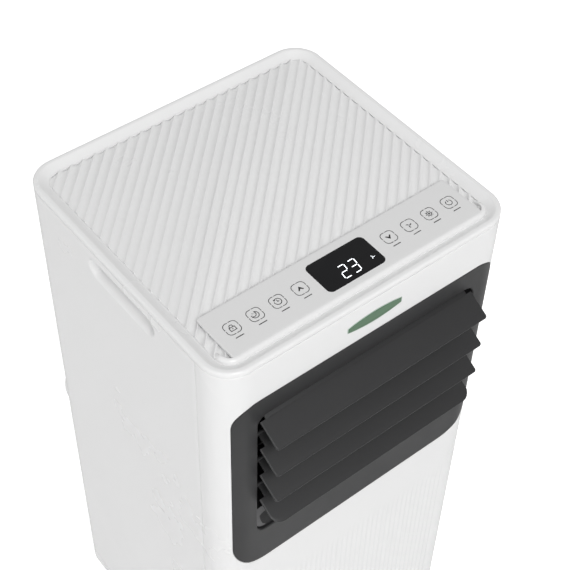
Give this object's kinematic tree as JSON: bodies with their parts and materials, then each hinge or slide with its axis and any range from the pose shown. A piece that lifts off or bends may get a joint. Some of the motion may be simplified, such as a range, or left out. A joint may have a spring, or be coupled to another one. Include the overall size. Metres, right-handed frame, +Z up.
{
  "type": "portable air conditioner",
  "caption": "Tall white cabinet on castors with a ribbed top and touch panel, a dark louvred air outlet in front, and intake filters and an exhaust collar behind.",
  "frame": {"origin": "middle of the overall footprint, on the floor", "axes": "+Z up, front towards -Y, +X to the right of someone who faces the front"},
  "size_m": [0.33, 0.3596, 0.69],
  "materials": {
    "shell_white": "fine satin moulding",
    "panel_white": "smooth printed panel",
    "display_black": "gloss black window",
    "outlet_dark": "matt moulding",
    "badge_green": "satin green",
    "castor_dark": "matt moulding",
    "wheel_grey": "worn tread",
    "mesh_dark": "woven net",
    "clip_light": "natural nylon",
    "drain_rubber": "matt rubber",
    "inner_plastic": "plain moulding",
    "fin_aluminium": "thin bright fins",
    "pipe_copper": "drawn tube",
    "motor_steel": "pressed steel",
    "compressor_black": "black enamel",
    "board_green": "lacquered board"
  },
  "bodies": {
    "cabinet": {"base_pan": "shell_white", "front_shell": "shell_white", "rear_shell": "shell_white", "top_cover": "shell_white", "ribbed_deck": "shell_white", "control_panel": "panel_white", "display_window": "display_black", "control_board": "board_green", "badge_plate": "badge_green", "outlet_bezel": "outlet_dark", "outlet_frame": "outlet_dark", "sill_clip": "clip_light", "swing_motor": "motor_steel", "hose_collar": "shell_white", "collar_screws": "motor_steel", "drain_spigot": "inner_plastic", "cord_gland": "drain_rubber", "partition": "inner_plastic", "drip_tray": "inner_plastic", "evaporator": "fin_aluminium", "air_guide": "inner_plastic", "fan_motor": "motor_steel", "condenser": "fin_aluminium", "exhaust_scroll": "inner_plastic", "exhaust_duct": "inner_plastic", "exhaust_motor": "motor_steel", "compressor": "compressor_black", "compressor_feet": "drain_rubber", "accumulator": "compressor_black", "suction_pipe": "pipe_copper", "discharge_pipe": "pipe_copper", "electrical_box": "motor_steel", "electrical_lid": "motor_steel"},
    "louvre_1": {"louvre_1": "outlet_dark"},
    "louvre_2": {"louvre_2": "outlet_dark", "swing_shaft": "motor_steel"},
    "louvre_3": {"louvre_3": "outlet_dark"},
    "louvre_4": {"louvre_4": "outlet_dark"},
    "louvre_link": {"louvre_link": "clip_light"},
    "upper_filter": {"upper_filter": "shell_white", "upper_mesh": "mesh_dark"},
    "lower_filter": {"lower_filter": "shell_white", "lower_mesh": "mesh_dark"},
    "drain_plug": {"drain_plug": "drain_rubber"},
    "crossflow_fan": {"crossflow_fan": "inner_plastic"},
    "exhaust_wheel": {"exhaust_wheel": "inner_plastic"},
    "castor_front_left": {"castor_front_left": "castor_dark"},
    "wheels_front_left": {"wheels_front_left": "wheel_grey"},
    "castor_front_right": {"castor_front_right": "castor_dark"},
    "wheels_front_right": {"wheels_front_right": "wheel_grey"},
    "castor_rear_left": {"castor_rear_left": "castor_dark"},
    "wheels_rear_left": {"wheels_rear_left": "wheel_grey"},
    "castor_rear_right": {"castor_rear_right": "castor_dark"},
    "wheels_rear_right": {"wheels_rear_right": "wheel_grey"}
  },
  "joints": [
    {"name": "louvre_1_turn", "type": "hinge", "parent": "cabinet", "child": "louvre_1", "pos_m": [0, -0.1424, 0.6128], "axis": [1, 0, 0], "range_deg": [-18, 54]},
    {"name": "louvre_2_turn", "type": "hinge", "parent": "cabinet", "child": "louvre_2", "pos_m": [0, -0.1424, 0.5724], "axis": [1, 0, 0], "range_deg": [-18, 54]},
    {"name": "louvre_3_turn", "type": "hinge", "parent": "cabinet", "child": "louvre_3", "pos_m": [0, -0.1424, 0.532], "axis": [1, 0, 0], "range_deg": [-18, 54]},
    {"name": "louvre_4_turn", "type": "hinge", "parent": "cabinet", "child": "louvre_4", "pos_m": [0, -0.1424, 0.4916], "axis": [1, 0, 0], "range_deg": [-18, 54]},
    {"name": "link_turn", "type": "hinge", "parent": "louvre_2", "child": "louvre_link", "pos_m": [-0.122, -0.13119, 0.56099], "axis": [1, 0, 0], "range_deg": [-54, 18]},
    {"name": "crossflow_fan_spin", "type": "hinge", "parent": "cabinet", "child": "crossflow_fan", "pos_m": [0, -0.0205, 0.53], "axis": [1, 0, 0], "continuous": true},
    {"name": "exhaust_wheel_spin", "type": "hinge", "parent": "cabinet", "child": "exhaust_wheel", "pos_m": [-0.07, 0.06, 0.154], "axis": [0, 1, 0], "continuous": true},
    {"name": "upper_filter_slide", "type": "slide", "parent": "cabinet", "child": "upper_filter", "axis": [0, 1, 0], "range_m": [0, 0.06]},
    {"name": "lower_filter_slide", "type": "slide", "parent": "cabinet", "child": "lower_filter", "axis": [0, 1, 0], "range_m": [0, 0.06]},
    {"name": "drain_plug_slide", "type": "slide", "parent": "cabinet", "child": "drain_plug", "axis": [0, 1, 0], "range_m": [0, 0.03]},
    {"name": "castor_front_left_swivel", "type": "hinge", "parent": "cabinet", "child": "castor_front_left", "pos_m": [-0.129, -0.119, 0.046], "axis": [0, 0, 1], "continuous": true},
    {"name": "wheels_front_left_roll", "type": "hinge", "parent": "castor_front_left", "child": "wheels_front_left", "pos_m": [-0.129, -0.107, 0.016], "axis": [1, 0, 0], "continuous": true},
    {"name": "castor_front_right_swivel", "type": "hinge", "parent": "cabinet", "child": "castor_front_right", "pos_m": [0.129, -0.119, 0.046], "axis": [0, 0, 1], "continuous": true},
    {"name": "wheels_front_right_roll", "type": "hinge", "parent": "castor_front_right", "child": "wheels_front_right", "pos_m": [0.129, -0.107, 0.016], "axis": [1, 0, 0], "continuous": true},
    {"name": "castor_rear_left_swivel", "type": "hinge", "parent": "cabinet", "child": "castor_rear_left", "pos_m": [-0.129, 0.119, 0.046], "axis": [0, 0, 1], "continuous": true},
    {"name": "wheels_rear_left_roll", "type": "hinge", "parent": "castor_rear_left", "child": "wheels_rear_left", "pos_m": [-0.129, 0.131, 0.016], "axis": [1, 0, 0], "continuous": true},
    {"name": "castor_rear_right_swivel", "type": "hinge", "parent": "cabinet", "child": "castor_rear_right", "pos_m": [0.129, 0.119, 0.046], "axis": [0, 0, 1], "continuous": true},
    {"name": "wheels_rear_right_roll", "type": "hinge", "parent": "castor_rear_right", "child": "wheels_rear_right", "pos_m": [0.129, 0.131, 0.016], "axis": [1, 0, 0], "continuous": true}
  ],
  "couplings": [
    {"joint": "louvre_1_turn", "follows": "louvre_2_turn", "ratio": 1},
    {"joint": "louvre_3_turn", "follows": "louvre_2_turn", "ratio": 1},
    {"joint": "louvre_4_turn", "follows": "louvre_2_turn", "ratio": 1},
    {"joint": "link_turn", "follows": "louvre_2_turn", "ratio": -1}
  ]
}
